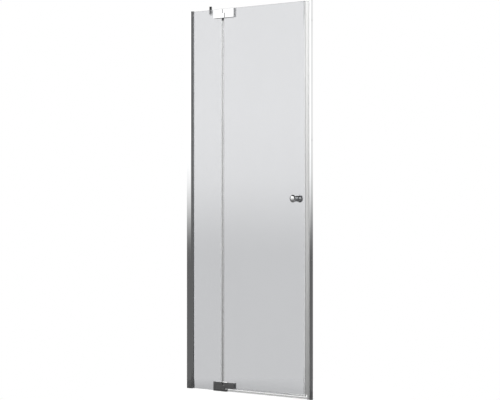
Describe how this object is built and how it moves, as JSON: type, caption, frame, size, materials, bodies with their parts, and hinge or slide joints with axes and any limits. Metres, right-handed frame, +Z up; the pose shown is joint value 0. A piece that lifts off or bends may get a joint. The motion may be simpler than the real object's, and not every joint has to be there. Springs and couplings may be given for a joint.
{
  "type": "pivot shower door",
  "caption": "Niche shower enclosure: a glass door swings outward on pivot hinges carried by a fixed glass panel, with chrome wall profiles, seals, a round knob and a stabiliser bar.",
  "frame": {"origin": "on the tray at the hinge-side wall, on the mid-plane of the glass", "axes": "+X along the niche away from the hinge-side wall, +Y into the shower, +Z up"},
  "size_m": [0.9, 0.215, 2.0255],
  "materials": {
    "chrome": "polished chrome",
    "cap": "moulded grey",
    "steel": "stainless",
    "clear_seal": "clear soft vinyl",
    "rubber": "matt black",
    "gasket": "translucent grey",
    "magnet": "bonded magnet strip",
    "glass": "clear toughened glass",
    "bush": "bearing polymer"
  },
  "bodies": {
    "frame": {"adjusting_screws": "steel", "bottom_hinge_fixed_gaskets": "gasket", "bottom_hinge_fixed_leaf": "chrome", "bottom_hinge_fixed_plate": "chrome", "bottom_hinge_fixed_screws": "steel", "bottom_hinge_pin": "steel", "bottom_hinge_washer": "bush", "fixed_glass": "glass", "gap_seal": "clear_seal", "gap_seal_plugs": "rubber", "glazing_gasket": "rubber", "glazing_profile": "chrome", "profile_cap": "cap", "stay_bar": "chrome", "stay_clamp": "chrome", "stay_flange": "chrome", "stay_grub_screw": "steel", "stay_liner": "gasket", "stay_screws": "steel", "strike_cap": "cap", "strike_magnet": "magnet", "strike_profile": "chrome", "strike_seal": "clear_seal", "top_hinge_fixed_gaskets": "gasket", "top_hinge_fixed_leaf": "chrome", "top_hinge_fixed_plate": "chrome", "top_hinge_fixed_screws": "steel", "top_hinge_pin": "steel", "top_hinge_washer": "bush", "wall_channel": "chrome"},
    "door": {"bottom_hinge_bush": "bush", "bottom_hinge_door_gaskets": "gasket", "bottom_hinge_door_leaf": "chrome", "bottom_hinge_door_plate": "chrome", "bottom_hinge_door_screws": "steel", "bottom_seal": "clear_seal", "door_glass": "glass", "door_magnet": "magnet", "door_magnet_seal": "clear_seal", "knob_grub_screw": "steel", "knob_inner": "chrome", "knob_outer": "chrome", "knob_sleeve": "clear_seal", "knob_stud": "steel", "knob_washers": "clear_seal", "top_hinge_bush": "bush", "top_hinge_door_gaskets": "gasket", "top_hinge_door_leaf": "chrome", "top_hinge_door_plate": "chrome", "top_hinge_door_screws": "steel"}
  },
  "joints": [
    {"name": "door_swing", "type": "hinge", "parent": "frame", "child": "door", "pos_m": [0.2765, -0.005, 0], "axis": [0, 0, -1], "range_deg": [0, 100]}
  ]
}
